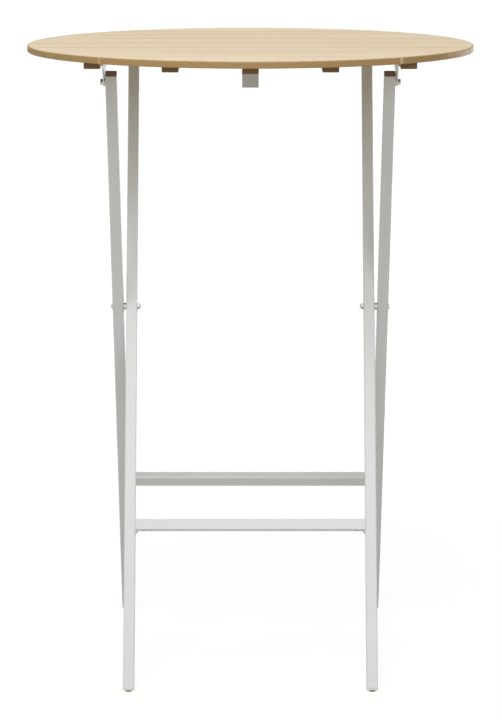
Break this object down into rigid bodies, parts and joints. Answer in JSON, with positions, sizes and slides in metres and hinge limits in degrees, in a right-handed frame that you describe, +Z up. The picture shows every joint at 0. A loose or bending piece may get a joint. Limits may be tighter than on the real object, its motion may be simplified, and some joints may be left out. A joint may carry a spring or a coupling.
{
  "type": "folding high table",
  "caption": "Folding high table: a round slatted wooden top that tilts on hinge brackets, carried by a crossed frame of white square steel tube with pivoting legs and padded feet.",
  "frame": {"origin": "On the floor, under the centre of the round top.", "axes": "+Z up, the front (the hinge side, where the outer legs reach the top) at -Y, +X to the right seen from the front."},
  "size_m": [0.8, 0.7998, 1.13],
  "materials": {
    "slat_wood": "light wood, clear satin finish",
    "batten_wood": "light wood, clear satin finish",
    "white_steel": "white powder coat, satin",
    "cap_plastic": "brown moulded plastic",
    "foot_plastic": "cream moulded plastic",
    "pad_rubber": "dark rubber, matt",
    "plate_steel": "zinc-plated sheet steel",
    "zinc_steel": "zinc-plated steel hardware"
  },
  "bodies": {
    "outer_frame": {"outer_leg_left": "white_steel", "outer_leg_right": "white_steel", "outer_cap_left": "cap_plastic", "outer_cap_right": "cap_plastic", "outer_foot_left": "foot_plastic", "outer_foot_right": "foot_plastic", "outer_pad_left": "pad_rubber", "outer_pad_right": "pad_rubber", "pivot_bolt_left": "zinc_steel", "pivot_bolt_right": "zinc_steel", "pivot_spacer_left": "zinc_steel", "pivot_spacer_right": "zinc_steel", "pivot_nut_left": "zinc_steel", "pivot_nut_right": "zinc_steel", "hinge_insert_left": "zinc_steel", "hinge_insert_right": "zinc_steel", "hinge_washer_left": "zinc_steel", "hinge_washer_right": "zinc_steel", "hinge_bolt_left": "zinc_steel", "hinge_bolt_right": "zinc_steel", "rear_rail": "white_steel", "outer_welds": "white_steel"},
    "inner_frame": {"inner_leg_left": "white_steel", "inner_leg_right": "white_steel", "inner_cap_left": "cap_plastic", "inner_cap_right": "cap_plastic", "inner_foot_left": "foot_plastic", "inner_foot_right": "foot_plastic", "inner_pad_left": "pad_rubber", "inner_pad_right": "pad_rubber", "front_rail": "white_steel", "top_bar": "white_steel", "inner_welds": "white_steel"},
    "top": {"slat_1": "slat_wood", "slat_2": "slat_wood", "slat_3": "slat_wood", "slat_4": "slat_wood", "slat_5": "slat_wood", "slat_6": "slat_wood", "slat_7": "slat_wood", "slat_8": "slat_wood", "batten_far_left": "batten_wood", "batten_left": "batten_wood", "batten_middle": "batten_wood", "batten_right": "batten_wood", "batten_far_right": "batten_wood", "hinge_bracket_left": "plate_steel", "hinge_bracket_right": "plate_steel", "catch_plate": "white_steel", "bracket_screws": "zinc_steel", "catch_screws": "zinc_steel"}
  },
  "joints": [
    {"name": "top_tilt", "type": "hinge", "parent": "outer_frame", "child": "top", "pos_m": [0, -0.17211, 1.076], "axis": [1, 0, 0], "range_deg": [0, 112]},
    {"name": "leg_fold", "type": "hinge", "parent": "outer_frame", "child": "inner_frame", "pos_m": [0, 0, 0.65], "axis": [1, 0, 0], "range_deg": [0, 40]}
  ],
  "couplings": [
    {"joint": "leg_fold", "follows": "top_tilt", "ratio": 0.357}
  ]
}
